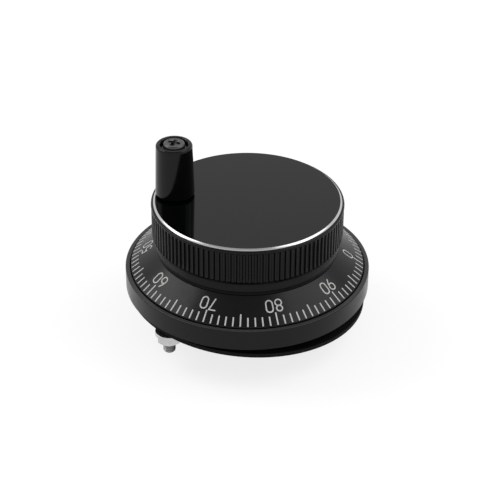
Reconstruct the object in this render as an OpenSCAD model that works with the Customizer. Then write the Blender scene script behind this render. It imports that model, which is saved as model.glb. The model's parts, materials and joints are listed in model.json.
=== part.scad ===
// Panel-mounted pulse generator handwheel, millimetres.
// Origin: centre of the flange's rear face. +Z points out of the panel.

/* [Flange] */
// Outer diameter of the flange
flange_d = 80; // [79:0.5:84]
// Height of the flange's side wall
flange_h = 7.1; // [6.6:0.1:7.6]
// Thickness of the flange's floor
floor_t = 3; // [2.8:0.1:3.4]
// Width of the rim around the dial
rim_w = 1.5; // [1.25:0.05:1.75]

/* [Panel fixing] */
// Distance of the studs from the flange's edge
stud_inset = 4; // [3.5:0.05:5]
// Thread diameter of the studs
stud_d = 4; // [3:0.5:4]
// Length of a stud behind the flange
stud_reach = 10.2; // [10.2:0.2:14]
// Angle of the first stud
stud_angle = 46.6; // [40:0.2:53]
// Thickness of the panel gasket
gasket_t = 1.4; // [1:0.1:1.6]
// Tilt of the loose gasket
gasket_tilt = 3.7; // [3:0.1:3.8]
// Direction in which the gasket hangs lowest
gasket_low = 15.3; // [10:0.5:20]

/* [Dial] */
// Slope of the scale
dial_slope = 36.2; // [34:0.2:37]
// Wall thickness of the cone
dial_wall = 2.2; // [1.8:0.1:2.4]

/* [Knob] */
// Diameter over the knurl
knob_d = 62.3; // [61.5:0.1:63]
// How far the smooth neck stands back from the knurl
neck_inset = 1.45; // [1.25:0.05:1.65]
// Number of knurl ridges
knurl_n = 108; // [80:1:120]
// Depth of the knurl
knurl_depth = 0.5; // [0.3:0.05:0.6]
// Height of the face above the panel
face_z = 31.2; // [30.8:0.1:33]
// Thickness of the face plate
face_t = 1.6; // [1.4:0.1:2.2]
// Radial width of the bright chamfer
chamfer_w = 0.6; // [0.5:0.05:0.8]

/* [Handle] */
// Distance of the handle's axis from the knob's edge
handle_inset = 7.55; // [7.55:0.05:8.55]
// Angle of the handle at rest
handle_angle = 173.5; // [150:0.5:210]
// Diameter of the handle at its base
handle_base_d = 12.7; // [12:0.1:13]
// Diameter of the handle at its top
handle_top_d = 11.8; // [11.4:0.1:12]
// Length of the handle
handle_len = 18.1; // [16:0.1:24]
// Diameter of the handle's post
post_d = 6; // [5.5:0.1:6.2]

/* [Bearings] */
// Bore of the spindle bearings
bearing_bore = 8; // [7.6:0.1:8.2]
// Outer diameter of the spindle bearings
bearing_od = 16; // [15.8:0.1:16.4]
// Width of a bearing
bearing_w = 5; // [4.6:0.1:5.2]
// Balls in each bearing
ball_n = 8; // [6:1:9]

/* [Click mechanism] */
// Steps in one turn, for the click teeth and the encoder
steps = 100; // [50, 100]
// Gap between the toothed ring and the pole plates
magnet_gap = 0.3; // [0.3:0.05:0.5]
// Depth of the click teeth
tooth_depth = 0.7; // [0.5:0.1:0.9]

/* [Encoder] */
// Diameter of the encoder disc
disc_d = 33; // [32:0.5:34]
// Thickness of the encoder disc
disc_t = 0.5; // [0.4:0.1:0.6]
// Diameter of the circuit board
board_d = 47; // [46:0.5:47.6]
// Thickness of the circuit board
board_t = 1.6; // [1.2:0.1:1.6]

/* [Rear case] */
// Diameter of the rear case at the panel
case_d = 52; // [51.4:0.2:53]
// Diameter of the rear case at its back
case_back_d = 43; // [42:0.5:43.4]
// Depth of the wide part
case_step = 9; // [8.8:0.1:9.2]
// Depth of the whole case
case_depth = 15.3; // [15:0.1:16]
// Wall thickness of the case
case_wall = 1.6; // [1.4:0.1:1.8]
// Terminals on the back
terminal_n = 6; // [4:1:6]
// Distance between neighbouring terminals
terminal_pitch = 5; // [4.6:0.1:5]

/* [Hidden] */

$fn = 96;
eps = 0.01;      // overlap of cutters past a face
fit_gap = 0.02;  // radial gap of a seated cylinder
run_gap = 0.05;  // radial gap of a running fit
air = 0.3;       // gap between parts that move past each other

// flange
flange_r = flange_d / 2;
well_r = flange_r - rim_w;
boss_r = 11;
pedestal_r = 17;

// bearings: the lower one is in the floor, the upper one in the boss
bearing_r = bearing_od / 2;
spindle_r = bearing_bore / 2;
pitch_r = (bearing_r + spindle_r) / 2;
ball_r = 0.29 * (bearing_r - spindle_r);
race_r = ball_r + run_gap;
race_land = 0.7;                 // half the radial space between the rings
bearing_up_z = 15;
bearing_z = [0, bearing_up_z];   // underside of each bearing
boss_top = bearing_up_z + bearing_w + 0.5;

// studs, washers and nuts; the loose gasket lies on the washer of stud 0
stud_r = stud_d / 2;
stud_ring_r = flange_r - stud_inset;
stud_seat = floor_t - 0.6;
stud_n = 2;
washer_r = 2.25 * stud_r;
washer_t = 0.2 * stud_d;
nut_af = 1.75 * stud_d;
nut_t = 0.65 * stud_d;
nut_turn = 43.4;                                       // how the nuts happen to stand
gasket_w = 8;
gasket_r = flange_r - 1;
gasket_bore_r = gasket_r - gasket_w;
gasket_hole_r = stud_r + 0.35;
gasket_mid = -gasket_r * sin(gasket_tilt) - fit_gap;   // height of its top face on the axis
washer_drop = 2.65;                                    // washer of the stud that shows

// dial
dial_r = well_r - 0.25;
dial_edge_z = flange_h + 0.38;
knob_r = knob_d / 2;
neck_r = knob_r - neck_inset;
foot_r = neck_r - 0.8;                                 // the neck steps in over the dial
dial_bore_r = foot_r + 0.25;
function cone_z(r) = dial_edge_z + (dial_r - r) * tan(dial_slope);
dial_top_z = cone_z(dial_bore_r);
dial_drop = dial_wall / cos(dial_slope);               // cone wall measured straight down
dial_web_z = 6.5;                                      // underside of the dial's inner flange
dial_screw_r = 1.25;
dial_head_r = 2.2;
dial_head_t = 1.3;
dial_screw_n = 4;

// knob
neck_z = dial_web_z + 2;
foot_z = dial_top_z + 0.95;                            // height of the step in the neck
knurl_z = 18.9;
chamfer_h = 0.83 * chamfer_w;
trim_in_r = knob_r - 0.75 - chamfer_w;
trim_out_r = trim_in_r + chamfer_w;
shoulder_z = face_z - chamfer_h - 0.1;                 // top of the rounded shoulder
knurl_top = shoulder_z - 0.8;
web_top = face_z - face_t;
web_z = web_top - 4.5;
neck_wall = 4.7;
click_seat_r = neck_r - neck_wall;                     // bore that holds the click ring
cavity_r = click_seat_r - 1;
hub_r = 9;
hub_tip_r = pitch_r - race_land - 0.1;                 // clears the bearing's outer ring
spindle_top = web_top - 3;
dial_screw_ring = (click_seat_r + foot_r) / 2;
dial_thread = 5;                                       // length of a dial screw in the neck

// screw that holds the knob on the spindle
spindle_screw_r = spindle_r / 2;
spindle_head_r = 3.8;
spindle_head_t = 1.6;
spindle_screw_l = 9;                                   // length of its thread in the spindle
spindle_seat_z = web_top - spindle_head_t - 0.2;

// click mechanism
click_z = 13;
click_t = 4;
plate_t = 1.2;
ring_tip_r = click_seat_r - 2.7;
plate_r = ring_tip_r - magnet_gap;
magnet_r = 16;
click_nut_r = boss_r + 4;
click_nut_t = 2;

// encoder
disc_r = disc_d / 2;
disc_hub_r = 8;
disc_hub_t = 3.4;
disc_hub_step = 0.6;                                   // collar that meets the inner ring
disc_z = -disc_hub_t - disc_t;
disc_nut_r = 6.4;
disc_nut_t = 2.2;
emitter_r = 1.15;
track_in_r = disc_r - 3.3;
track_out_r = disc_r - 0.7;
slot_share = 0.5;                                      // open share of a slot's pitch
track_r = (track_in_r + track_out_r) / 2;
fork_l = 9.4;
fork_w = 8;
fork_back = 2.6;                                       // from the track to the fork's mouth
driver_x = 2.5 - disc_r;                               // line driver, under the disc
driver_l = 6;
driver_w = 4;

// rear case
case_r = case_d / 2;
case_back_r = case_back_d / 2;
shelf_z = -case_step + case_wall;                      // inner shelf that carries the board
board_top = shelf_z + board_t;
board_r = board_d / 2;
case_screw_ring = case_r - 2.3;
case_screw_n = 3;
case_screw_r = 1;
board_screw_ring = board_r - 1.9;
row_l = terminal_n * terminal_pitch;
block_l = row_l + 1.6;
block_w = 10;
block_y = 6;
rib_w = 1;
terminal_floor = -case_depth + 3.8;
plate_w = terminal_pitch - rib_w - 0.4;

// handle
post_r = post_d / 2;
post_thread_r = 0.83 * post_r;
sleeve_z = face_z + air;
sleeve_top = sleeve_z + handle_len;
recess_r = 4.5;
recess_depth = 2.2;
post_top = sleeve_top - recess_depth + 0.25;
handle_washer_t = 0.5;
post_thread_l = 6.8;
screw_r = 1.5;
screw_l = 8.5;                                         // length of its thread in the post
screw_head_r = 3.5;
screw_head_t = 2.1;

// points of an arc in a profile, from angle a to angle b
function arc(x, y, r, a, b, n = 4) =
  [for (i = [0:n]) [x + r * cos(a + (b - a) * i / n), y + r * sin(a + (b - a) * i / n)]];

// outline of n trapezoid teeth: tips at radius tip, roots at radius root
function teeth(n, tip, root, tip_share, root_share) =
  [for (i = [0:n - 1], k = [0:3])
    let (half = (k == 0 || k == 3) ? (1 - root_share) / 2 : tip_share / 2)
    let (a = (i + (k < 2 ? -half : half)) * 360 / n)
    let (r = (k == 0 || k == 3) ? root : tip)
    [r * cos(a), r * sin(a)]];

// a round solid between two heights
module disc(r, z0, z1) {
  translate([0, 0, z0])
    cylinder(r = r, h = z1 - z0);
}

// a washer-shaped solid between two heights
module ring(r_out, r_in, z0, z1) {
  difference() {
    disc(r_out, z0, z1);
    disc(r_in, z0 - eps, z1 + eps);
  }
}

// copies of the children at equal angles on a circle
module around(n, r, start = 0) {
  for (i = [0:n - 1])
    rotate(start + i * 360 / n)
      translate([r, 0, 0])
        children();
}

// places the children at the handle's axis
module at_handle() {
  rotate(handle_angle)
    translate([knob_r - handle_inset, 0, 0])
      children();
}

// a pan head: flat underside at z = 0, rounded top edge, pointing up
module pan_head(r, h) {
  rotate_extrude()
    polygon(concat([[0, 0], [r, 0]], arc(r - 0.5 * h, 0.5 * h, 0.5 * h, 0, 80), [[0, h]]));
}

// a slot or a cross cut into a head's top
module driver_cut(l, w, depth, top, blades = 1) {
  for (i = [0:blades - 1])
    rotate(i * 90)
      translate([-l / 2, -w / 2, top - depth])
        cube([l, w, depth + eps]);
}

// height of the washer's upper face at stud i
function washer_top(i) =
  i == 1 ? -washer_drop : gasket_under(stud_angle + i * 360 / stud_n) - fit_gap;

// lowest height of the gasket's underside over a washer at angle a
function gasket_under(a) =
  gasket_mid - gasket_t / cos(gasket_tilt)
  - (stud_ring_r * cos(a - gasket_low) + washer_r) * tan(gasket_tilt);

// bezel ring, floor, click pedestal and bearing boss in one casting
module flange_housing() {
  color("dimgray")
  difference() {
    rotate_extrude()
      polygon(concat(
        [[0, 0], [flange_r - 0.3, 0], [flange_r, 0.3]],
        arc(flange_r - 0.35, flange_h - 0.35, 0.35, 0, 90),
        [[well_r + 0.15, flange_h], [well_r, flange_h - 0.15], [well_r, floor_t]],
        [[pedestal_r + 1, floor_t], [pedestal_r, floor_t + 1], [pedestal_r, click_z]],
        [[boss_r, click_z], [boss_r, boss_top - 0.4], [boss_r - 0.4, boss_top]],
        [[0, boss_top]]
      ));
    disc(bearing_r + fit_gap, -eps, bearing_w);
    disc(bearing_r - 1.5, bearing_w - eps, bearing_up_z + eps);
    disc(bearing_r + fit_gap, bearing_up_z, boss_top + eps);
    around(stud_n, stud_ring_r, stud_angle)
      disc(stud_r + fit_gap, -eps, stud_seat);
    around(case_screw_n, case_screw_ring, 60)
      disc(case_screw_r + fit_gap, -eps, 2.3);
    // lightening pockets between the pedestal and the rim
    for (i = [0:stud_n - 1])
      rotate(stud_angle + 20 + i * 360 / stud_n)
        rotate_extrude(angle = 360 / stud_n - 40)
          translate([pedestal_r + 3, floor_t - 0.8])
            square([9, 1]);
  }
}

// studs screwed into the flange's floor
module mounting_studs() {
  color("silver")
  around(stud_n, stud_ring_r, stud_angle)
    rotate_extrude()
      polygon([
        [0, -stud_reach], [stud_r - 0.5, -stud_reach], [stud_r, -stud_reach + 0.5],
        [stud_r, stud_seat - 0.4], [stud_r - 0.4, stud_seat - 0.02], [0, stud_seat - 0.02]
      ]);
}

module stud_washers() {
  color("silver")
  for (i = [0:stud_n - 1])
    rotate(stud_angle + i * 360 / stud_n)
      translate([stud_ring_r, 0, 0])
        ring(washer_r, stud_r + 0.15, washer_top(i) - washer_t, washer_top(i));
}

// hexagon nuts with chamfered corners, one under each washer
module stud_nuts() {
  corner_r = nut_af / 2 / cos(30);
  color("silver")
  for (i = [0:stud_n - 1])
    rotate(stud_angle + i * 360 / stud_n)
      translate([stud_ring_r, 0, washer_top(i) - washer_t - nut_t])
        difference() {
          intersection() {
            rotate(nut_turn)
              cylinder(r = corner_r, h = nut_t, $fn = 6);
            rotate_extrude()
              polygon([
                [0, 0], [corner_r - 0.5, 0], [corner_r + 0.2, 0.4],
                [corner_r + 0.2, nut_t - 0.4], [corner_r - 0.5, nut_t], [0, nut_t]
              ]);
          }
          disc(stud_r + fit_gap, -eps, nut_t + eps);
        }
}

// flat ring, left loose: touches the flange on its high side and hangs on the other
module panel_gasket() {
  color("black")
  rotate(gasket_low)
    translate([0, 0, gasket_mid])
      rotate([0, gasket_tilt, 0])
        difference() {
          ring(gasket_r, gasket_bore_r, -gasket_t, 0);
          rotate(-gasket_low)
            around(stud_n, stud_ring_r, stud_angle)
              disc(gasket_hole_r, -gasket_t - eps, eps);
        }
}

// stepped cup behind the flange, with screw posts, a board shelf and a terminal window
module rear_case() {
  in_r = case_r - case_wall;
  back_in_r = case_back_r - case_wall;
  color("black")
  difference() {
    union() {
      rotate_extrude()
        polygon([
          [0, -case_depth], [case_back_r - 0.8, -case_depth], [case_back_r, -case_depth + 0.8],
          [case_back_r, -case_step], [case_r - 0.5, -case_step], [case_r, -case_step + 0.5],
          [case_r, 0], [in_r, 0], [in_r, shelf_z], [back_in_r, shelf_z],
          [back_in_r, -case_depth + case_wall], [0, -case_depth + case_wall]
        ]);
      around(case_screw_n, case_screw_ring, 60)
        disc(case_screw_r + 1.2, -case_step + eps, 0);
    }
    around(case_screw_n, case_screw_ring, 60)
      disc(case_screw_r + 0.1, -case_step - eps, eps);
    around(2, board_screw_ring, 90)
      disc(0.8 + fit_gap, shelf_z - 1.2, shelf_z + eps);
    translate([-block_l / 2 - 0.2, block_y - block_w / 2 - 0.2, -case_depth - eps])
      cube([block_l + 0.4, block_w + 0.4, case_wall + 2 * eps]);
  }
}

// screws through the case's posts into the flange, heads on the outer step
module case_screws() {
  color("silver")
  around(case_screw_n, case_screw_ring, 60)
    difference() {
      union() {
        translate([0, 0, -case_step])
          mirror([0, 0, 1])
            pan_head(1.9, 1.1);
        disc(case_screw_r, -case_step, 2.1);
      }
      translate([0, 0, -case_step])
        mirror([0, 0, 1])
          driver_cut(2.2, 0.5, 0.6, 1.1, 2);
    }
}

module circuit_board() {
  color("darkgreen")
  difference() {
    disc(board_r, shelf_z, board_top);
    disc(9.2, shelf_z - eps, board_top + eps);
    around(case_screw_n, case_screw_ring, 60)
      disc(case_screw_r + 1.5, shelf_z - eps, board_top + eps);
    around(2, board_screw_ring, 90)
      disc(0.9, shelf_z - eps, board_top + eps);
  }
}

module board_screws() {
  color("silver")
  around(2, board_screw_ring, 90)
    difference() {
      union() {
        translate([0, 0, board_top])
          pan_head(1.6, 0.9);
        disc(0.8, shelf_z - 1.1, board_top);
      }
      translate([0, 0, board_top])
        driver_cut(2, 0.4, 0.5, 0.9, 2);
    }
}

// C-shaped holder that straddles the disc's slotted track
module sensor_fork() {
  mouth = track_r - fork_back;
  color("black")
  difference() {
    translate([mouth, -fork_w / 2, board_top])
      cube([fork_l, fork_w, -0.6 - board_top]);
    translate([mouth - 0.1, -fork_w / 2 - 0.1, disc_z - 0.5])
      cube([disc_r + 1 - mouth, fork_w + 0.2, disc_t + 1]);
    translate([track_r, 0, 0]) {
      disc(emitter_r + fit_gap, disc_z, -1);
      disc(emitter_r + fit_gap, board_top + 0.2, disc_z);
    }
  }
}

module light_emitter() {
  color("lightblue")
  translate([track_r, 0, 0])
    disc(emitter_r, disc_z + disc_t + 0.6, -1.02);
}

module light_sensor() {
  color("darkslategray")
  translate([track_r, 0, 0])
    disc(emitter_r, board_top + 0.22, disc_z - 0.6);
}

// small chip with four leads on each side
module line_driver() {
  color("black")
  translate([driver_x, 0, board_top]) {
    translate([-driver_w / 2, -driver_l / 2, 0.15])
      cube([driver_w, driver_l, 1.2]);
    for (side = [-1, 1], i = [-1.5:1:1.5])
      translate([side * 0.6 * driver_w - 0.6, i * 1.27 - 0.2, 0])
        cube([1.2, 0.4, 0.3]);
  }
}

// row of open cells whose floors carry the clamp plates; the row faces backwards
module terminal_block() {
  back_z = -case_depth + 0.3;
  color("darkgreen")
  difference() {
    translate([-block_l / 2, block_y - block_w / 2, back_z])
      cube([block_l, block_w, shelf_z - fit_gap - back_z]);
    for_terminals() {
      translate([-(terminal_pitch - rib_w) / 2, -block_w / 2 + 1.2, back_z - eps])
        cube([terminal_pitch - rib_w, block_w, terminal_floor - back_z + eps]);
      disc(1.5 + fit_gap, terminal_floor - eps, shelf_z - 1);
    }
  }
}

// copies of the children at each terminal's axis
module for_terminals() {
  for (i = [0:terminal_n - 1])
    translate([(i - (terminal_n - 1) / 2) * terminal_pitch, block_y, 0])
      children();
}

module terminal_plates() {
  color("silver")
  for_terminals()
    difference() {
      translate([-plate_w / 2, -2.4, terminal_floor - 0.8])
        cube([plate_w, 6, 0.8]);
      disc(1.6, terminal_floor - 0.8 - eps, terminal_floor + eps);
    }
}

module terminal_screws() {
  color("silver")
  for_terminals()
    difference() {
      union() {
        translate([0, 0, terminal_floor - 0.8])
          mirror([0, 0, 1])
            pan_head(1.75, 1.6);
        disc(1.5, terminal_floor - 0.8, shelf_z - 1.2);
      }
      translate([0, 0, terminal_floor - 0.8])
        mirror([0, 0, 1])
          driver_cut(2.6, 0.6, 0.9, 1.6, 2);
    }
}

// grooved outer rings, pressed into the flange
module bearing_outer_rings() {
  color("lightgray")
  for (z = bearing_z)
    rotate_extrude()
      difference() {
        translate([pitch_r + race_land, z])
          square([bearing_r - pitch_r - race_land, bearing_w]);
        translate([pitch_r, z + bearing_w / 2])
          circle(race_r);
      }
}

module bearing_inner_rings() {
  color("lightgray")
  for (z = bearing_z)
    rotate_extrude()
      difference() {
        translate([spindle_r + fit_gap, z])
          square([pitch_r - race_land - spindle_r - fit_gap, bearing_w]);
        translate([pitch_r, z + bearing_w / 2])
          circle(race_r);
      }
}

module bearing_balls() {
  color("silver")
  for (z = bearing_z)
    translate([0, 0, z + bearing_w / 2])
      around(ball_n, pitch_r)
        sphere(ball_r);
}

// a ring with a round pocket for each ball
module bearing_cages() {
  color("goldenrod")
  for (z = bearing_z)
    translate([0, 0, z + bearing_w / 2])
      difference() {
        ring(pitch_r + race_land - air, pitch_r - race_land + air, -1.6, 1.6);
        around(ball_n, pitch_r - race_land)
          rotate([0, 90, 0])
            disc(race_r, 0, 2 * race_land);
      }
}

// two fixed plates with outward teeth, one on each side of the magnet
module pole_plates() {
  color("gray")
  for (z = [click_z, click_z + click_t - plate_t])
    translate([0, 0, z])
      linear_extrude(plate_t)
        difference() {
          polygon(teeth(steps, plate_r, plate_r - tooth_depth, 0.4, 0.4));
          circle(boss_r + fit_gap);
        }
}

module click_magnet() {
  color("dimgray")
  ring(magnet_r, boss_r + air, click_z + plate_t, click_z + click_t - plate_t);
}

// round nut that clamps the plates and the magnet on the pedestal
module click_nut() {
  color("silver")
  difference() {
    ring(click_nut_r, boss_r + fit_gap, click_z + click_t, click_z + click_t + click_nut_t);
    around(4, click_nut_r)
      translate([-1.2, -1, click_z + click_t - eps])
        cube([2.4, 2, click_nut_t + 2 * eps]);
  }
}

// turning ring with inward teeth that face the pole plates
module click_ring() {
  color("gray")
  translate([0, 0, click_z])
    linear_extrude(click_t)
      difference() {
        circle(click_seat_r);
        polygon(teeth(steps, ring_tip_r + tooth_depth, ring_tip_r, 0.6, 0.6));
      }
}

// conical scale ring with a flange under the neck and a spigot that holds the click ring
module dial_ring() {
  lip = 0.4;
  lip_x = dial_bore_r + lip;
  lip_z = cone_z(lip_x + lip * sin(dial_slope)) - lip * cos(dial_slope);
  web_r = dial_bore_r + 1.9;
  color("black")
  difference() {
    rotate_extrude()
      polygon(concat(
        [[click_seat_r - 1.8, dial_web_z], [web_r, dial_web_z]],
        [[web_r + 0.4, cone_z(web_r + 0.4) - dial_drop]],
        [[dial_r - 0.8, cone_z(dial_r - 0.8) - dial_drop], [dial_r, dial_edge_z - 2]],
        [[dial_r, dial_edge_z - 0.15], [dial_r - 0.15, cone_z(dial_r - 0.15)]],
        arc(lip_x, lip_z, lip, 90 - dial_slope, 180),
        [[dial_bore_r, neck_z], [click_seat_r - run_gap, neck_z]],
        [[click_seat_r - run_gap, click_z - fit_gap], [click_seat_r - 1.8, click_z - fit_gap]]
      ));
    around(dial_screw_n, dial_screw_ring, 45)
      disc(dial_screw_r + 0.15, dial_web_z - eps, neck_z + eps);
  }
}

// screws from below, through the dial's flange into the neck
module dial_screws() {
  color("silver")
  around(dial_screw_n, dial_screw_ring, 45)
    difference() {
      union() {
        translate([0, 0, dial_web_z])
          mirror([0, 0, 1])
            pan_head(dial_head_r, dial_head_t);
        disc(dial_screw_r, dial_web_z, neck_z + dial_thread);
      }
      translate([0, 0, dial_web_z])
        mirror([0, 0, 1])
          driver_cut(dial_head_r + 0.6, 0.6, 0.7, dial_head_t, 2);
    }
}

// hollow knob: neck, straight knurl, rounded shoulder, recess for the face
module knob_body() {
  color("black")
  difference() {
    union() {
      rotate_extrude()
        polygon(concat(
          [[0, bearing_up_z + bearing_w], [hub_tip_r, bearing_up_z + bearing_w]],
          [[hub_tip_r, boss_top + 0.8], [hub_r, boss_top + 0.8], [hub_r, web_z - 1]],
          [[hub_r + 1, web_z], [cavity_r - 1, web_z], [cavity_r, web_z - 1]],
          [[cavity_r, click_z + click_t + fit_gap]],
          [[click_seat_r + fit_gap, click_z + click_t + fit_gap]],
          [[click_seat_r + fit_gap, neck_z], [foot_r, neck_z], [foot_r, foot_z]],
          [[neck_r - 0.15, foot_z], [neck_r, foot_z + 0.15], [neck_r, knurl_top]],
          [[knob_r, knurl_top]],
          arc(knob_r - 0.5, shoulder_z - 0.5, 0.5, 0, 90),
          [[0, shoulder_z]]
        ));
      translate([0, 0, knurl_z])
        linear_extrude(knurl_top - knurl_z)
          difference() {
            polygon(teeth(knurl_n, knob_r - 0.1, knob_r - 0.1 - knurl_depth, 0.3, 0.3));
            circle(neck_r - 2);
          }
      at_handle()
        disc(post_thread_r + 1.7, web_z - 3, web_z + 1);
    }
    disc(trim_out_r + fit_gap, web_top, shoulder_z + eps);
    disc(spindle_r + fit_gap, bearing_up_z, spindle_top + fit_gap);
    disc(spindle_screw_r + 0.2, spindle_top, web_top);
    disc(spindle_head_r + air, spindle_seat_z, web_top + eps);
    around(dial_screw_n, dial_screw_ring, 45)
      disc(dial_screw_r + fit_gap, neck_z - eps, neck_z + dial_thread + 0.2);
    at_handle()
      disc(post_thread_r + fit_gap, web_top - post_thread_l - 0.2, web_top + eps);
  }
}

// bright ring with a chamfer that rises to the face
module trim_ring() {
  color("silver")
  rotate_extrude()
    polygon([
      [trim_in_r, web_top], [trim_out_r, web_top],
      [trim_out_r, face_z - chamfer_h], [trim_in_r + 0.05, face_z], [trim_in_r, face_z]
    ]);
}

module face_plate() {
  color("black")
  difference() {
    disc(trim_in_r - fit_gap, web_top, face_z);
    at_handle()
      disc(post_r + 0.15, web_top - eps, face_z + eps);
  }
}

// spindle with a tapped hole for the screw under the face
module wheel_spindle() {
  end_z = disc_z - disc_nut_t - 0.5;
  color("silver")
  difference() {
    rotate_extrude()
      polygon([
        [0, end_z], [spindle_r - 0.4, end_z], [spindle_r, end_z + 0.4],
        [spindle_r, spindle_top - 0.4], [spindle_r - 0.4, spindle_top], [0, spindle_top]
      ]);
    disc(spindle_screw_r + fit_gap, spindle_top - spindle_screw_l - 1, spindle_top + eps);
  }
}

module spindle_screw() {
  color("silver")
  difference() {
    union() {
      translate([0, 0, spindle_seat_z])
        pan_head(spindle_head_r, spindle_head_t);
      disc(spindle_screw_r, spindle_top - spindle_screw_l, spindle_seat_z);
    }
    translate([0, 0, spindle_seat_z])
      driver_cut(spindle_head_r - 0.2, 0.8, 1, spindle_head_t, 2);
  }
}

// sleeve with a flange that carries the disc
module disc_hub() {
  color("silver")
  rotate_extrude()
    polygon([
      [spindle_r + fit_gap, 0], [hub_tip_r, 0], [hub_tip_r, -disc_hub_step],
      [disc_hub_r - 0.4, -disc_hub_step], [disc_hub_r, -disc_hub_step - 0.4],
      [disc_hub_r, -disc_hub_t], [spindle_r + fit_gap, -disc_hub_t]
    ]);
}

// thin disc with one radial slot for each step
module encoder_disc() {
  half = slot_share * 180 / steps;
  color("lightgray")
  translate([0, 0, disc_z])
    linear_extrude(disc_t)
      difference() {
        circle(disc_r);
        circle(spindle_r + fit_gap);
        for (i = [0:steps - 1])
          rotate(i * 360 / steps)
            polygon([
              for (p = [[track_in_r, -half], [track_out_r, -half],
                        [track_out_r, half], [track_in_r, half]])
                [p[0] * cos(p[1]), p[0] * sin(p[1])]
            ]);
      }
}

module disc_nut() {
  color("silver")
  difference() {
    ring(disc_nut_r, spindle_r + fit_gap, disc_z - disc_nut_t, disc_z);
    around(2, disc_nut_r)
      translate([-1, -0.8, disc_z - disc_nut_t - eps])
        cube([2, 1.6, 1.2]);
  }
}

// shoulder post: its thread sits in the knob's web, the handle turns on its shoulder
module handle_post() {
  color("silver")
  at_handle()
    difference() {
      rotate_extrude()
        polygon([
          [0, web_top - post_thread_l], [post_thread_r - 0.4, web_top - post_thread_l],
          [post_thread_r, web_top - post_thread_l + 0.4], [post_thread_r, web_top],
          [post_r, web_top],
          [post_r, post_top - 0.3], [post_r - 0.3, post_top], [0, post_top]
        ]);
      disc(screw_r + fit_gap, post_top - screw_l - 0.5, post_top + eps);
    }
}

// tapered grip with rounded ends and a recess for the screw's head
module handle_sleeve() {
  base_r = handle_base_d / 2;
  top_r = handle_top_d / 2;
  color("black")
  at_handle()
    rotate_extrude()
      polygon(concat(
        [[post_r + run_gap, sleeve_z]],
        arc(base_r - 0.8, sleeve_z + 0.8, 0.8, -90, 0),
        arc(top_r - 0.8, sleeve_top - 0.8, 0.8, 0, 90),
        [[recess_r + 0.2, sleeve_top], [recess_r, sleeve_top - 0.2]],
        [[recess_r, sleeve_top - recess_depth]],
        [[post_r + run_gap, sleeve_top - recess_depth]]
      ));
}

module handle_washer() {
  color("silver")
  at_handle()
    ring(recess_r - 0.6, screw_r + 0.1, post_top, post_top + handle_washer_t);
}

module handle_screw() {
  seat_z = post_top + handle_washer_t;
  color("silver")
  at_handle()
    difference() {
      union() {
        translate([0, 0, seat_z])
          pan_head(screw_head_r, screw_head_t);
        disc(screw_r, post_top - screw_l, seat_z);
      }
      translate([0, 0, seat_z])
        driver_cut(3.6, 0.8, 1.3, screw_head_t, 2);
    }
}

flange_housing();
mounting_studs();
stud_washers();
stud_nuts();
panel_gasket();
rear_case();
case_screws();
circuit_board();
board_screws();
sensor_fork();
light_emitter();
light_sensor();
line_driver();
terminal_block();
terminal_screws();
terminal_plates();
bearing_outer_rings();
bearing_inner_rings();
bearing_balls();
bearing_cages();
pole_plates();
click_magnet();
click_nut();
click_ring();
dial_ring();
dial_screws();
knob_body();
trim_ring();
face_plate();
wheel_spindle();
spindle_screw();
disc_hub();
encoder_disc();
disc_nut();
handle_post();
handle_sleeve();
handle_washer();
handle_screw();
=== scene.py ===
import json
import math

import bmesh
import bpy
from mathutils import Matrix, Vector

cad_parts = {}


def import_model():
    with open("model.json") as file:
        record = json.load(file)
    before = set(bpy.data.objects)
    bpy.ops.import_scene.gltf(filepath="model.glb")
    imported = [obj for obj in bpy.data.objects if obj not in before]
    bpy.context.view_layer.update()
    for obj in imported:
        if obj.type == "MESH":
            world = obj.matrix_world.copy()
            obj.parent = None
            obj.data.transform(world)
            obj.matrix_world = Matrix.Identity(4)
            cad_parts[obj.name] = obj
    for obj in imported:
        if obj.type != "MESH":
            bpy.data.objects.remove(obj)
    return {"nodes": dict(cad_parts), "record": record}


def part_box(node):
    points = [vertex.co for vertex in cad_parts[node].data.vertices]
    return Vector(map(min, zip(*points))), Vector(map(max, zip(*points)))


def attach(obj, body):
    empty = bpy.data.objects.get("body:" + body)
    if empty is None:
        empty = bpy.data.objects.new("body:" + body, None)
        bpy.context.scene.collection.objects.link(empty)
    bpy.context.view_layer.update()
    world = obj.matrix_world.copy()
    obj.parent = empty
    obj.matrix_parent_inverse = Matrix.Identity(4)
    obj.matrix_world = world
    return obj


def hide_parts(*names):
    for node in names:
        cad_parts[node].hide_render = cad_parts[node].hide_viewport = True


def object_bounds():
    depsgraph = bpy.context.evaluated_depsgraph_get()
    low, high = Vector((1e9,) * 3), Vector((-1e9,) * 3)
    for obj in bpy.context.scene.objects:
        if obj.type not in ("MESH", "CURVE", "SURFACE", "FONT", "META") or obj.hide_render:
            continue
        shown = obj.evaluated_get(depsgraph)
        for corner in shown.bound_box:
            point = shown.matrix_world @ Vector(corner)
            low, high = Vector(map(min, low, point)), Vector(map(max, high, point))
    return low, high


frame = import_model()
cad_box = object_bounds()
record = frame["record"]

MM = 0.001
UM = 0.000001
UP = Vector((0, 0, 1))
ON_AXIS = 1e-6                         # a smaller radius than this, in millimetres, is a point on the axis


# ---------------------------------------------------------------- geometry helpers

def new_object(name, bm, material, smooth=35):
    """Makes an object of a bmesh, shaded smooth with edges sharper than `smooth` degrees kept."""
    bmesh.ops.recalc_face_normals(bm, faces=bm.faces)
    mesh = bpy.data.meshes.new(name)
    bm.to_mesh(mesh)
    bm.free()
    for face in mesh.polygons:
        face.use_smooth = True
    mesh.set_sharp_from_angle(angle=math.radians(smooth))
    mesh.materials.append(material)
    obj = bpy.data.objects.new(name, mesh)
    bpy.context.scene.collection.objects.link(obj)
    return obj


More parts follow.
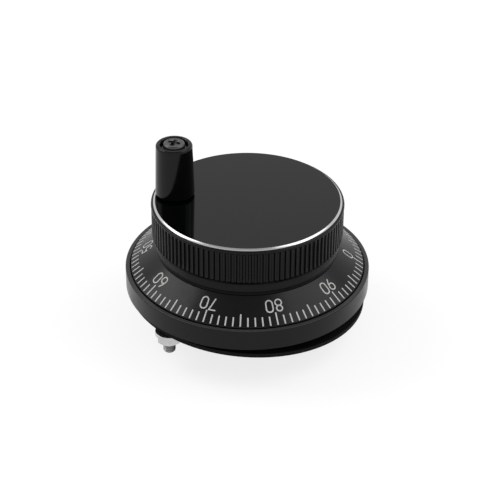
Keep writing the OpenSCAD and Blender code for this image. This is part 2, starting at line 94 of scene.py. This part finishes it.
def bow(x, y, rx, ry, start, end, n=14):
    """Points of an elliptic arc around (x, y), between two angles in degrees."""
    turns = [math.radians(start + (end - start) * i / n) for i in range(n + 1)]
    return [(x + rx * math.cos(turn), y + ry * math.sin(turn)) for turn in turns]


def arc(x, y, r, start, end, n):
    """Points of a round arc around (x, y), between two angles in degrees."""
    return bow(x, y, r, r, start, end, n)


def solid_strip(bm, rings, closed=False):
    """Skins a solid over a list of equal point rings. It has a cap at both ends, or closes on itself."""
    rows = [[bm.verts.new(p) for p in ring] for ring in rings]
    n = len(rows[0])
    onward = rows[1:] + rows[:1] if closed else rows[1:]
    for a, b in zip(rows, onward):
        for i in range(n):
            bm.faces.new((a[i], a[(i + 1) % n], b[(i + 1) % n], b[i]))
    if not closed:
        bm.faces.new(rows[0])
        bm.faces.new(rows[-1])


def grid(bm, rows, closed_rows=False):
    """Skins rows of points around an axis. A row of one point is a pole."""
    made = [[bm.verts.new(p) for p in row] for row in rows]
    pairs = list(zip(made, made[1:]))
    if closed_rows:
        pairs.append((made[-1], made[0]))
    for a, b in pairs:
        n = max(len(a), len(b))
        for i in range(n):
            j = (i + 1) % n
            corners = [a[i % len(a)], a[j % len(a)], b[j % len(b)], b[i % len(b)]]
            bm.faces.new([v for k, v in enumerate(corners) if v is not corners[k - 1]])


def even(n):
    """n angles evenly round the circle."""
    return [2 * math.pi * i / n for i in range(n)]


def around(centre, r, angle, z):
    """A point at a radius and an angle from an upright axis. Radius and height are in millimetres."""
    return Vector((centre[0] + r * MM * math.cos(angle), centre[1] + r * MM * math.sin(angle), z * MM))


def turned_rows(profile, angles, centre=(0.0, 0.0)):
    """The rows of a lathe: profile points (radius, height) in millimetres."""
    rows = []
    for r, z in profile:
        turns = angles if r > ON_AXIS else angles[:1]
        rows.append([around(centre, r, a, z) for a in turns])
    return rows


def lathe(name, profile, material, segments, centre=(0.0, 0.0), smooth=35):
    """A turned solid. The profile is closed, or starts and ends on the axis."""
    bm = bmesh.new()
    grid(bm, turned_rows(profile, even(segments), centre), closed_rows=profile[0][0] > ON_AXIS)
    return new_object(name, bm, material, smooth)


def carve(obj, cutter):
    """Cuts one mesh out of another and removes the cutter."""
    cut = obj.modifiers.new("cut", "BOOLEAN")
    cut.operation, cut.solver, cut.object = "DIFFERENCE", "EXACT", cutter
    graph = bpy.context.evaluated_depsgraph_get()
    mesh = bpy.data.meshes.new_from_object(obj.evaluated_get(graph))
    obj.modifiers.clear()
    obj.data = mesh
    bpy.data.objects.remove(cutter)
    mesh.set_sharp_from_angle(angle=math.radians(30))


# ---------------------------------------------------------------- materials

def node(tree, kind, **values):
    """Adds a shader node. A value goes to the input of that name, or else to the node's own setting."""
    made = tree.nodes.new(kind)
    for key, value in values.items():
        if key in made.inputs:
            made.inputs[key].default_value = value
        else:
            setattr(made, key, value)
    return made


def turned_lines(tree, position):
    """Texture coordinates of radius and height alone, so that a noise on them runs round the axis."""
    flat = node(tree, "ShaderNodeVectorMath", operation="MULTIPLY")
    flat.inputs[1].default_value = (1, 1, 0)
    tree.links.new(position, flat.inputs[0])
    radius = node(tree, "ShaderNodeVectorMath", operation="LENGTH")
    tree.links.new(flat.outputs[0], radius.inputs[0])
    apart = node(tree, "ShaderNodeSeparateXYZ")
    tree.links.new(position, apart.inputs[0])
    joined = node(tree, "ShaderNodeCombineXYZ")
    tree.links.new(radius.outputs["Value"], joined.inputs["X"])
    tree.links.new(apart.outputs["Z"], joined.inputs["Y"])
    return joined.outputs[0]


def surface(name, colour, roughness, metallic=0.0, ior=1.5, grain=900, pitch=None,
            spread=0.12, vary=0.05, bump=4.0):
    """A procedural finish. One soft noise mixes a darker and a lighter twin of the colour, each the share
    `spread` away, and moves the roughness by up to `vary`. Fine grain gives the bump, `bump` micrometres
    high. Where `pitch` is given, in millimetres, lines turned around the wheel's axis give it instead."""
    mat = bpy.data.materials.new(name)
    mat.use_nodes = True
    tree = mat.node_tree
    shader = tree.nodes["Principled BSDF"]
    shader.inputs["Metallic"].default_value = metallic
    shader.inputs["IOR"].default_value = ior
    position = node(tree, "ShaderNodeTexCoord").outputs["Object"]

    soft = node(tree, "ShaderNodeTexNoise", Scale=160.0, Detail=3.0, Roughness=0.55)
    tree.links.new(position, soft.inputs["Vector"])
    tones = node(tree, "ShaderNodeValToRGB")
    darker, lighter = tones.color_ramp.elements
    darker.position, darker.color = 0.3, (*(c * (1 - spread) for c in colour), 1)
    lighter.position, lighter.color = 0.7, (*(min(1, c * (1 + spread)) for c in colour), 1)
    tree.links.new(soft.outputs["Fac"], tones.inputs["Fac"])
    tree.links.new(tones.outputs["Color"], shader.inputs["Base Color"])

    rough = node(tree, "ShaderNodeMapRange")
    rough.inputs["From Min"].default_value = 0.3
    rough.inputs["From Max"].default_value = 0.7
    rough.inputs["To Min"].default_value = max(0.02, roughness - vary)
    rough.inputs["To Max"].default_value = roughness + vary
    tree.links.new(soft.outputs["Fac"], rough.inputs["Value"])
    tree.links.new(rough.outputs["Result"], shader.inputs["Roughness"])

    fine = node(tree, "ShaderNodeTexNoise", Scale=float(grain), Detail=4.0, Roughness=0.6)
    if pitch:
        fine.inputs["Scale"].default_value = 1 / (pitch * MM)
        tree.links.new(turned_lines(tree, position), fine.inputs["Vector"])
    else:
        tree.links.new(position, fine.inputs["Vector"])
    height = node(tree, "ShaderNodeBump", Strength=1.0, Distance=bump * UM)
    tree.links.new(fine.outputs["Fac"], height.inputs["Height"])
    tree.links.new(height.outputs["Normal"], shader.inputs["Normal"])
    return mat


def add_land(mat, low, high, colour):
    """Paints a highlight into the finish: another colour between two heights, in millimetres."""
    tree = mat.node_tree
    base = tree.nodes["Principled BSDF"].inputs["Base Color"]
    tones = base.links[0].from_socket
    apart = node(tree, "ShaderNodeSeparateXYZ")
    tree.links.new(node(tree, "ShaderNodeTexCoord").outputs["Object"], apart.inputs[0])
    within = node(tree, "ShaderNodeMath", operation="MULTIPLY")
    for i, (operation, limit) in enumerate((("GREATER_THAN", low), ("LESS_THAN", high))):
        test = node(tree, "ShaderNodeMath", operation=operation)
        test.inputs[1].default_value = limit * MM
        tree.links.new(apart.outputs["Z"], test.inputs[0])
        tree.links.new(test.outputs[0], within.inputs[i])
    mix = node(tree, "ShaderNodeMixRGB")
    mix.inputs[2].default_value = (*colour, 1)
    tree.links.new(within.outputs[0], mix.inputs[0])
    tree.links.new(tones, mix.inputs[1])
    tree.links.new(mix.outputs[0], base)


def grey(value):
    return (value, value, value)


# the finish of each material slot: colour, roughness, and what differs from a plain surface
FINISHES = {
    "black_paint": ((0.002, 0.002, 0.0021), 0.28, dict(ior=1.28, grain=2600, bump=1.5)),
    "black_anodised": (grey(0.0022), 0.3, dict(ior=1.26, pitch=0.12, bump=1.0)),
    "bright_trim": ((0.5, 0.5, 0.505), 0.18,
                    dict(metallic=1.0, pitch=0.06, bump=0.5, spread=0.03, vary=0.03)),
    "gloss_face": ((0.0003, 0.0007, 0.0006), 0.05, dict(ior=1.285, bump=0.1, vary=0.02)),
    "black_plastic": (grey(0.0012), 0.13, dict(ior=1.29, grain=2400, bump=1.2)),
    "case_plastic": ((0.01, 0.01, 0.0105), 0.5, dict(ior=1.45, grain=1800, bump=6.0)),
    "gasket_rubber": (grey(0.0025), 0.7, dict(ior=1.2, grain=1600, bump=10.0)),
    "zinc_steel": ((0.55, 0.56, 0.56), 0.3, dict(metallic=1.0, grain=2500, bump=3.0, vary=0.06)),
    "bearing_steel": ((0.7, 0.7, 0.71), 0.15, dict(metallic=1.0, pitch=0.1, bump=1.0)),
    "cage_brass": ((0.72, 0.5, 0.2), 0.28, dict(metallic=1.0, grain=2200, bump=2.0)),
    "click_steel": ((0.42, 0.42, 0.43), 0.38, dict(metallic=1.0, grain=2200, bump=3.0)),
    "magnet_ferrite": ((0.03, 0.03, 0.032), 0.6, dict(grain=2000, bump=10.0)),
    "board_green": ((0.02, 0.12, 0.045), 0.35, dict(grain=1500, bump=3.0)),
    "terminal_green": ((0.03, 0.2, 0.08), 0.45, dict(grain=1800)),
    "disc_metal": (grey(0.6), 0.25, dict(metallic=1.0, pitch=0.1, bump=1.0)),
    "black_oxide": ((0.022, 0.022, 0.023), 0.3, dict(ior=1.6, grain=2500, bump=3.0)),
    "clear_lens": ((0.5, 0.62, 0.72), 0.08, dict(grain=1200, bump=1.0)),
    "dark_lens": ((0.01, 0.01, 0.02), 0.08, dict(grain=1200, bump=1.0)),
}
paints = {name: surface(name, colour, rough, **more) for name, (colour, rough, more) in FINISHES.items()}
print_white = surface("print_white", (0.6, 0.6, 0.59), 0.5, ior=1.4, grain=3000, bump=2.0, spread=0.06)
dial_finish = surface("dial_finish", grey(0.0022), 0.25, ior=1.285, pitch=0.12, bump=1.0)
stud_finish = surface("stud_finish", (0.28, 0.285, 0.285), 0.42,
                      metallic=1.0, grain=2500, bump=3.0, vary=0.06)

# painted highlight: the land on top of the flange's wall is painted lighter than the wall, for the light
# it catches from above
WALL_TOP = 7.1
add_land(paints["black_paint"], WALL_TOP - 0.08, WALL_TOP + 0.1, grey(0.047))

for part in record["subparts"]:
    slots = frame["nodes"][part["node"]].data.materials
    slots.clear()
    slots.append(dial_finish if part["node"] == "dial_ring" else paints[part["material_slot"]])


# ---------------------------------------------------------------- knob

# radii and heights in millimetres; those of the knob's and the trim's outside come from the frame
knob_low, knob_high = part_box("knob_body")
trim_low, trim_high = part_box("trim_ring")
KNOB_R, NECK_LOW = knob_high.x / MM, knob_low.z / MM
TRIM_OUT, WEB_TOP, FACE_Z = trim_high.x / MM, trim_low.z / MM, trim_high.z / MM
TRIM_IN = TRIM_OUT - 0.6
NECK_R = KNOB_R - 1.45
FOOT_R = NECK_R - 0.8                  # below the foot the neck steps in over the dial
FOOT_Z = 15.09
SHOULDER_Z = FACE_Z - 0.6
SHOULDER_ROUND = 0.62

# inside: the hub's tip in the bearing, the hub, the hollow around it and the seat of the click ring
HUB_TIP_R, HUB_TIP_Z = 5.2, 20.0
HUB_R, HUB_Z = 9.0, 21.3
HOLLOW_R, HOLLOW_TOP = 24.0, 25.1
SEAT_R, SEAT_Z = 25.02, 17.02

SWEEP_OUT, SWEEP_HIGH = 0.7, 1.6       # hollow sweep from the neck to the knurl's underside

KNURL_LOW, KNURL_HIGH = 18.9, 29.8
RIDGES = 108
GROOVE = 0.65                          # depth of a groove
RIDGE = [                              # one ridge: share of its pitch, share of the groove's depth there
    (-0.155, 0.08), (-0.11, 0.0), (0.0, 0.0), (0.11, 0.0), (0.155, 0.08),
    (0.29, 0.93), (0.33, 1.0), (0.5, 1.0), (0.67, 1.0), (0.71, 0.93),
]


def neck_profile():
    """The knob's inside, the shallow groove and flare at its foot, the neck and the sweep over it."""
    inside = [
        (0, HUB_TIP_Z), (HUB_TIP_R, HUB_TIP_Z), (HUB_TIP_R, HUB_Z), (HUB_R, HUB_Z),
        (HUB_R, HOLLOW_TOP - 1), (HUB_R + 1, HOLLOW_TOP), (HOLLOW_R - 1, HOLLOW_TOP),
        (HOLLOW_R, HOLLOW_TOP - 1), (HOLLOW_R, SEAT_Z), (SEAT_R, SEAT_Z), (SEAT_R, NECK_LOW),
        (FOOT_R - 0.2, NECK_LOW), (FOOT_R, NECK_LOW + 0.2),
    ]
    groove = [
        (FOOT_R, FOOT_Z - 1.05), (FOOT_R + 0.2, FOOT_Z - 0.89), (FOOT_R + 0.3, FOOT_Z - 0.93),
        (NECK_R - 0.1, FOOT_Z - 1.22), (NECK_R - 0.1, FOOT_Z - 0.5), (NECK_R - 0.05, FOOT_Z - 0.15),
    ]
    flare = [
        (NECK_R + 0.12, FOOT_Z), (NECK_R + 0.2, FOOT_Z + 0.06), (NECK_R + 0.22, FOOT_Z + 0.14),
        (NECK_R + 0.2, FOOT_Z + 0.22), (NECK_R + 0.1, FOOT_Z + 0.34), (NECK_R + 0.03, FOOT_Z + 0.5),
        (NECK_R, FOOT_Z + 0.7), (NECK_R, KNURL_LOW - SWEEP_HIGH - 0.3),
    ]
    sweep = bow(NECK_R + SWEEP_OUT, KNURL_LOW - SWEEP_HIGH, SWEEP_OUT, SWEEP_HIGH, 180, 90, 8)
    return inside + groove + flare + sweep


def knurl_rows():
    """Rows of the knurl from low to high: height, radius at the crest, share of the groove's depth."""
    crest = KNOB_R - 0.1
    lower_end = [
        (0.0, -0.62, 0.0), (0.08, -0.4, 0.4), (0.25, -0.18, 0.75), (0.5, -0.05, 0.95), (0.75, 0.0, 1.0),
    ]
    upper_end = [
        (0.75, 0.0, 1.0), (0.45, 0.0, 0.86), (0.22, 0.0, 0.55), (0.06, 0.02, 0.18), (0.0, 0.05, 0.0),
    ]
    rows = [(KNURL_LOW + up, crest + out, share) for up, out, share in lower_end]
    rows += [(KNURL_LOW + 0.5 + i * 1.4, crest, 1.0) for i in range(1, 7)]
    rows += [(KNURL_HIGH - down, crest + out, share) for down, out, share in upper_end]
    return rows


def knob():
    """Neck, straight knurl with rounded ridges, shoulder and the recess for the face."""
    ridges = [(2 * math.pi * (i + share) / RIDGES, depth) for i in range(RIDGES) for share, depth in RIDGE]
    angles = [angle for angle, depth in ridges]
    rows = turned_rows(neck_profile(), angles)
    for z, crest, share in knurl_rows():
        rows.append([around((0, 0), crest - GROOVE * share * depth, angle, z) for angle, depth in ridges])
    top = [(KNOB_R, KNURL_HIGH + 0.1)]
    top += arc(KNOB_R - SHOULDER_ROUND, SHOULDER_Z - SHOULDER_ROUND, SHOULDER_ROUND, 0, 90, 10)
    top += [(TRIM_OUT + 0.02, SHOULDER_Z - 0.05), (TRIM_OUT + 0.02, WEB_TOP), (0, WEB_TOP)]
    rows += turned_rows(top, angles)
    bm = bmesh.new()
    grid(bm, rows)
    return new_object("knob", bm, paints["black_anodised"], smooth=32)


def trim_ring():
    """Bright ring with a chamfer that rises to the face."""
    profile = [
        (TRIM_IN, WEB_TOP), (TRIM_OUT, WEB_TOP), (TRIM_OUT, FACE_Z - 0.53),
        (TRIM_OUT - 0.03, FACE_Z - 0.49), (TRIM_IN + 0.1, FACE_Z - 0.02),
        (TRIM_IN + 0.05, FACE_Z), (TRIM_IN, FACE_Z),
    ]
    return lathe("trim", profile, paints["bright_trim"], segments=360)


knob_piece = knob()
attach(knob_piece, "wheel")
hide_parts("knob_body")

trim = trim_ring()
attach(trim, "wheel")
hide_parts("trim_ring")


# ---------------------------------------------------------------- studs and washers

STUD_R = 2.0
STUD_RING_R = 36.0
STUD_ANGLES = (46.6, 226.6)            # the second one shows at the front left
THREAD_PITCH = 0.7
THREAD_DEPTH = 0.61 * THREAD_PITCH
THREAD_ROOT, THREAD_FLANK = 0.1, 0.75  # shares of the pitch: flat root, both flanks; the rest is the crest
THREAD_AROUND, THREAD_ROWS = 32, 12    # points round the rod, rows in a turn
STUD_CHAMFER = 0.55
WASHER_BORE_R, WASHER_R, WASHER_T = 2.15, 4.5, 0.8
WASHER_EDGE = 0.1


def stud_centres():
    """The places of the two studs, in metres."""
    turns = [math.radians(angle) for angle in STUD_ANGLES]
    return [(STUD_RING_R * MM * math.cos(turn), STUD_RING_R * MM * math.sin(turn)) for turn in turns]


def thread_rows(centre, low, high):
    """The rows of a rod with a helical thread, chamfered at its free lower end."""
    count = int((high - low) / THREAD_PITCH * THREAD_ROWS)
    rows = [[around(centre, 0, 0, low)]]
    for j in range(count + 1):
        z = low + j * (high - low) / count
        row = []
        for i, angle in enumerate(even(THREAD_AROUND)):
            place = (z / THREAD_PITCH - i / THREAD_AROUND) % 1.0
            rise = min(1.0, max(0.0, (abs(place - 0.5) * 2 - THREAD_ROOT) / THREAD_FLANK))
            r = min(STUD_R - THREAD_DEPTH * (1 - rise), STUD_R - STUD_CHAMFER + z - low)
            row.append(around(centre, r, angle, z))
        rows.append(row)
    rows.append([around(centre, 0, 0, high)])
    return rows


def studs():
    """Both studs in one piece, as tall as in the frame."""
    low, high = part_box("mounting_studs")
    bm = bmesh.new()
    for centre in stud_centres():
        grid(bm, thread_rows(centre, low.z / MM, high.z / MM))
    return new_object("threaded_studs", bm, stud_finish, smooth=50)


def washers():
    """Washers with broken edges. The second one reaches up to the gasket, which lies high there."""
    low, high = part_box("stud_washers")
    bottom, top = low.z / MM, high.z / MM
    heights = ((bottom, bottom + WASHER_T), (top - WASHER_T, top + 0.4))
    bm = bmesh.new()
    for centre, (under, over) in zip(stud_centres(), heights):
        profile = [
            (WASHER_BORE_R, under), (WASHER_R - WASHER_EDGE, under), (WASHER_R, under + WASHER_EDGE),
            (WASHER_R, over - WASHER_EDGE), (WASHER_R - WASHER_EDGE, over), (WASHER_BORE_R, over),
        ]
        grid(bm, turned_rows(profile, even(64), centre), closed_rows=True)
    return new_object("washers", bm, paints["zinc_steel"], smooth=35)


threads = studs()
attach(threads, "flange")
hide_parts("mounting_studs")

plain_washers = washers()
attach(plain_washers, "flange")
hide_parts("stud_washers")


# ---------------------------------------------------------------- handle's screw

SHANK_R, HEAD_T = 1.5, 2.1
HEAD_ROUND, HEAD_DOME = 0.9, 9.0       # radii of the head's rounded rim and of its domed top
RECESS_TURN = -20                      # how the recess happens to stand, in degrees
# the recess from its floor to above the head: depth, reach of an arm from the middle, width of an arm
RECESS = ((1.6, 1.1, 0.8), (0.75, 1.85, 1.15), (-0.3, 2.3, 1.4))


def screw_head(place, low, top, r):
    """A shank with a pan head on it, of radius r, from `low` to `top` in millimetres."""
    seat = top - HEAD_T
    shank = [(0, low), (SHANK_R - 0.2, low), (SHANK_R, low + 0.2), (SHANK_R, seat)]
    rim = [(r - 0.12, seat), (r, seat + 0.12)] + arc(r - HEAD_ROUND, top - 1.0, HEAD_ROUND, 0, 70, 10)
    dome = arc(0, top - HEAD_DOME, HEAD_DOME, 76, 90, 6)
    return lathe("handle_screw_head", shank + rim + dome, paints["black_oxide"],
                 segments=72, centre=place, smooth=40)


def recess_arm(place, top, turn):
    """A tapered bar, to cut two opposite arms of the cross recess."""
    a = math.radians(turn)
    along, across = Vector((math.cos(a), math.sin(a), 0)), Vector((-math.sin(a), math.cos(a), 0))
    middle = Vector((*place, 0))
    rings = []
    for depth, length, width in RECESS:
        at = middle + UP * (top - depth) * MM
        rings.append([at + along * (sx * length * MM) + across * (sy * width / 2 * MM)
                      for sx, sy in ((-1, -1), (1, -1), (1, 1), (-1, 1))])
    bm = bmesh.new()
    solid_strip(bm, rings)
    return new_object("cutter", bm, paints["black_oxide"])


def handle_screw():
    """The screw on the handle's pivot, with its height and head radius from the frame."""
    low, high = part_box("handle_screw")
    joints = {joint["name"]: joint for joint in record["behaviour"]["joints"]}
    place = joints["handle_spin"]["pos_m"][:2]
    top = high.z / MM
    head = screw_head(place, low.z / MM, top, (high.x - low.x) / 2 / MM)
    for quarter in (0, 90):
        carve(head, recess_arm(place, top, quarter + RECESS_TURN))
    return head


screw = handle_screw()
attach(screw, "wheel")
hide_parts("handle_screw")


# ---------------------------------------------------------------- dial: ticks and numbers

DIAL_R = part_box("dial_ring")[1].x
EDGE_Z = 7.48 * MM                     # height of the cone where it meets its rim
SLOPE = math.radians(36.2)
FIRST = math.radians(357.015)          # direction of the zero line
DIVISIONS = 100
STEP = 2 * math.pi / DIVISIONS
LIFT = 0.03 * MM                       # how far the print stands off the cone
SINK = 0.03 * MM                       # how far it reaches into the cone

TICK_OUTER = 38.0 * MM
TICK_INNER = 35.6 * MM
LONG_TICK_INNER = 34.7 * MM            # every fifth line
TICK_W = 0.45 * MM

GLYPH_W = 2.08 * MM                    # between the middles of the outer strokes
GLYPH_H = 3.87 * MM
GLYPH_PITCH = 3.02 * MM
STROKE = 0.42 * MM
NUMBER_FOOT_R = 31.18 * MM             # inner end of the numbers
NUMBER_R = 32.6 * MM                   # radius at which a figure has its true width


def on_cone(r, angle, lift):
    """A point over the cone at radius r, lifted along the cone's normal."""
    z = EDGE_Z + (DIAL_R - r) * math.tan(SLOPE)
    out = r + lift * math.sin(SLOPE)
    return Vector((out * math.cos(angle), out * math.sin(angle), z + lift * math.cos(SLOPE)))


def ticks():
    """The 100 lines of the scale."""
    bm = bmesh.new()
    for k in range(DIVISIONS):
        inner = LONG_TICK_INNER if k % 5 == 0 else TICK_INNER
        angle = FIRST + k * STEP
        rings = []
        for r in (inner, TICK_OUTER):
            a, b = angle - TICK_W / 2 / r, angle + TICK_W / 2 / r
            corners = ((a, -SINK), (b, -SINK), (b, LIFT), (a, LIFT))
            rings.append([on_cone(r, turn, lift) for turn, lift in corners])
        solid_strip(bm, rings)
    return new_object("dial_ticks", bm, print_white)


# strokes of each figure in a unit square: points, and whether the stroke closes on itself
GLYPHS = {
    "0": [(bow(0.5, 0.72, 0.5, 0.28, 0, 180) + bow(0.5, 0.28, 0.5, 0.28, 180, 360), True)],
    "1": [([(0.2, 0.78), (0.58, 1.0), (0.58, 0.0)], False)],
    "2": [(bow(0.5, 0.74, 0.48, 0.26, 170, -30) + [(0.04, 0.0), (1.0, 0.0)], False)],
    "3": [(bow(0.5, 0.76, 0.46, 0.24, 160, -80) + [(0.42, 0.52)], False),
          ([(0.42, 0.52)] + bow(0.48, 0.26, 0.52, 0.26, 80, -160), False)],
    "4": [([(0.78, 0.0), (0.78, 0.62)], False), ([(0.55, 1.0), (0.0, 0.24), (1.0, 0.24)], False)],
    "5": [([(0.92, 1.0), (0.14, 1.0), (0.06, 0.52)] + bow(0.5, 0.31, 0.5, 0.31, 125, -150), False)],
    "6": [(bow(0.5, 0.29, 0.5, 0.29, 180, 540, 24), True),
          ([(0.02, 0.34), (0.2, 0.66), (0.6, 1.0)], False)],
    "7": [([(0.0, 1.0), (1.0, 1.0), (0.36, 0.0)], False)],
    "8": [(bow(0.5, 0.76, 0.43, 0.24, -90, 270, 24), True),
          (bow(0.5, 0.26, 0.5, 0.26, -90, 270, 24), True)],
    "9": [(bow(0.5, 0.71, 0.5, 0.29, 0, 360, 24), True),
          ([(0.98, 0.66), (0.8, 0.34), (0.4, 0.0)], False)],
}


def finer(points, longest):
    """The same line with no stretch longer than `longest`."""
    out = [points[0]]
    for a, b in zip(points, points[1:]):
        n = max(1, math.ceil((b - a).length / longest))
        out += [a.lerp(b, i / n) for i in range(1, n + 1)]
    return out


def ribbon_rings(points, closed, place):
    """Cross-sections of a stroke along a line, each of four points, mapped by place(point, lift)."""
    n = len(points)
    rings = []
    for i, p in enumerate(points):
        before = points[(i - 1) % n] if closed or i else p
        after = points[(i + 1) % n] if closed or i < n - 1 else p
        d1, d2 = p - before, after - p
        d1 = d1.normalized() if d1.length else d2.normalized()
        d2 = d2.normalized() if d2.length else d1
        along = (d1 + d2).normalized()
        side = Vector((-along.y, along.x))
        width = STROKE / 2 / max(0.5, along.dot(d2))
        a, b = p - side * width, p + side * width
        rings.append([place(a, -SINK), place(b, -SINK), place(b, LIFT), place(a, LIFT)])
    return rings


def write_number(bm, text, middle):
    """Writes a number on the cone around the direction `middle`, with its foot towards the knob."""
    foot = NUMBER_FOOT_R + STROKE / 2 * math.cos(SLOPE)

    def place(p, lift):
        return on_cone(foot + p.y * math.cos(SLOPE), middle - p.x / NUMBER_R, lift)

    for i, sign in enumerate(text):
        shift = (i - (len(text) - 1) / 2) * GLYPH_PITCH
        for line, closed in GLYPHS[sign]:
            points = [Vector(((x - 0.5) * GLYPH_W + shift, y * GLYPH_H)) for x, y in line]
            if not closed:
                points = finer(points, 0.4 * MM)
            elif (points[0] - points[-1]).length < 1e-7:
                points.pop()           # a full turn ends on its first point
            solid_strip(bm, ribbon_rings(points, closed, place), closed)


def numbers():
    """The numbers 0 to 90, one for every ten lines."""
    bm = bmesh.new()
    for k in range(0, DIVISIONS, 10):
        write_number(bm, str(k), FIRST + k * STEP)
    return new_object("dial_numbers", bm, print_white)


for piece in (ticks(), numbers()):
    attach(piece, "wheel")


# ---------------------------------------------------------------- stage, light, camera

FLOOR_HALF = 4.0
FLOOR_GAP = 0.1 * MM                   # the floor lies this far under the object

CAMERA_ELEVATION = math.radians(32.84)
CAMERA_ROLL = math.radians(0.4487)
CAMERA_AIM = Vector((0, 0, 7.6 * MM))
CAMERA_DISTANCE = 538.14 * MM
AIM_RIGHT, AIM_DOWN = -0.895 * MM, 3.272 * MM    # where the aim stands from the picture's middle
SENSOR_MM, LENS_MM = 36, 117.72


def seen_share(tree):
    """1 for rays that show the surroundings (camera, glossy, transmission), 0 for those that light."""
    path = node(tree, "ShaderNodeLightPath")
    both = node(tree, "ShaderNodeMath", operation="ADD", use_clamp=True)
    seen = node(tree, "ShaderNodeMath", operation="ADD", use_clamp=True)
    tree.links.new(path.outputs["Is Camera Ray"], both.inputs[0])
    tree.links.new(path.outputs["Is Glossy Ray"], both.inputs[1])
    tree.links.new(both.outputs[0], seen.inputs[0])
    tree.links.new(path.outputs["Is Transmission Ray"], seen.inputs[1])
    return seen.outputs[0]


def stage_material():
    """White floor that keeps the shadow. The camera and reflections see it brighter than it lights."""
    mat = bpy.data.materials.new("stage_white")
    mat.use_nodes = True
    tree = mat.node_tree
    tree.nodes.remove(tree.nodes["Principled BSDF"])
    plain = node(tree, "ShaderNodeBsdfDiffuse", Color=(*grey(0.82), 1))
    pale = node(tree, "ShaderNodeBsdfDiffuse", Color=(*grey(0.3), 1))
    glow = node(tree, "ShaderNodeEmission", Color=(1, 1, 1, 1), Strength=0.78)
    bright = node(tree, "ShaderNodeAddShader")
    tree.links.new(pale.outputs[0], bright.inputs[0])
    tree.links.new(glow.outputs[0], bright.inputs[1])
    mix = node(tree, "ShaderNodeMixShader")
    tree.links.new(seen_share(tree), mix.inputs["Fac"])
    tree.links.new(plain.outputs[0], mix.inputs[1])
    tree.links.new(bright.outputs[0], mix.inputs[2])
    tree.links.new(mix.outputs[0], tree.nodes["Material Output"].inputs["Surface"])
    return mat


def floor():
    """A large square just under the object."""
    bm = bmesh.new()
    z = cad_box[0].z - FLOOR_GAP
    corners = ((-1, -1), (1, -1), (1, 1), (-1, 1))
    bm.faces.new([bm.verts.new((x * FLOOR_HALF, y * FLOOR_HALF, z)) for x, y in corners])
    obj = new_object("floor", bm, stage_material())


def world():
    """White up to about 40 degrees and grey overhead, and dimmer as a light than as it is seen."""
    made = bpy.data.worlds.new("studio")
    bpy.context.scene.world = made
    made.use_nodes = True
    tree = made.node_tree
    back = tree.nodes["Background"]
    apart = node(tree, "ShaderNodeSeparateXYZ")
    ramp = node(tree, "ShaderNodeValToRGB")
    side, overhead = ramp.color_ramp.elements
    side.position, side.color = 0.64, (1, 1, 1, 1)
    overhead.position, overhead.color = 0.97, (*grey(0.5), 1)
    tree.links.new(node(tree, "ShaderNodeTexCoord").outputs["Generated"], apart.inputs[0])
    tree.links.new(apart.outputs["Z"], ramp.inputs["Fac"])
    tree.links.new(ramp.outputs["Color"], back.inputs["Color"])
    power = node(tree, "ShaderNodeMapRange")
    power.inputs["To Min"].default_value = 0.62
    power.inputs["To Max"].default_value = 1.0
    tree.links.new(seen_share(tree), power.inputs["Value"])
    tree.links.new(power.outputs["Result"], back.inputs["Strength"])


def softbox(name, azimuth, elevation, distance, width, height, watts):
    """A lamp of width by height metres that faces the object. Azimuth runs from +X towards +Y."""
    lamp = bpy.data.lights.new(name, "AREA")
    lamp.shape = "RECTANGLE"
    lamp.size, lamp.size_y = width, height
    lamp.energy = watts
    obj = bpy.data.objects.new(name, lamp)
    a, e = math.radians(azimuth), math.radians(elevation)
    away = Vector((math.cos(a) * math.cos(e), math.sin(a) * math.cos(e), math.sin(e)))
    obj.location = away * distance
    obj.rotation_euler = away.to_track_quat("Z", "Y").to_euler()
    bpy.context.scene.collection.objects.link(obj)


def camera():
    """The camera stands in front, at -Y, and looks down on the wheel."""
    rise, roll = CAMERA_ELEVATION, CAMERA_ROLL
    level = Vector((1, 0, 0))
    down = Vector((0, -math.sin(rise), -math.cos(rise)))
    forward = Vector((0, math.cos(rise), -math.sin(rise)))
    across = level * math.cos(roll) - down * math.sin(roll)
    below = level * math.sin(roll) + down * math.cos(roll)
    data = bpy.data.cameras.new("camera")
    data.sensor_width = SENSOR_MM
    data.lens = LENS_MM
    data.clip_start, data.clip_end = 0.01, 20
    obj = bpy.data.objects.new("camera", data)
    place = Matrix((across, -below, -forward)).transposed().to_4x4()
    place.translation = CAMERA_AIM - across * AIM_RIGHT - below * AIM_DOWN - forward * CAMERA_DISTANCE
    obj.matrix_world = place
    bpy.context.scene.collection.objects.link(obj)
    bpy.context.scene.camera = obj


camera()
floor()
world()
softbox("softbox_left", azimuth=167, elevation=45, distance=0.8, width=0.42, height=0.45, watts=1.76)
softbox("softbox_right", azimuth=0, elevation=52, distance=0.8, width=0.56, height=0.5, watts=1.75)
bpy.context.scene.view_settings.view_transform = "Standard"
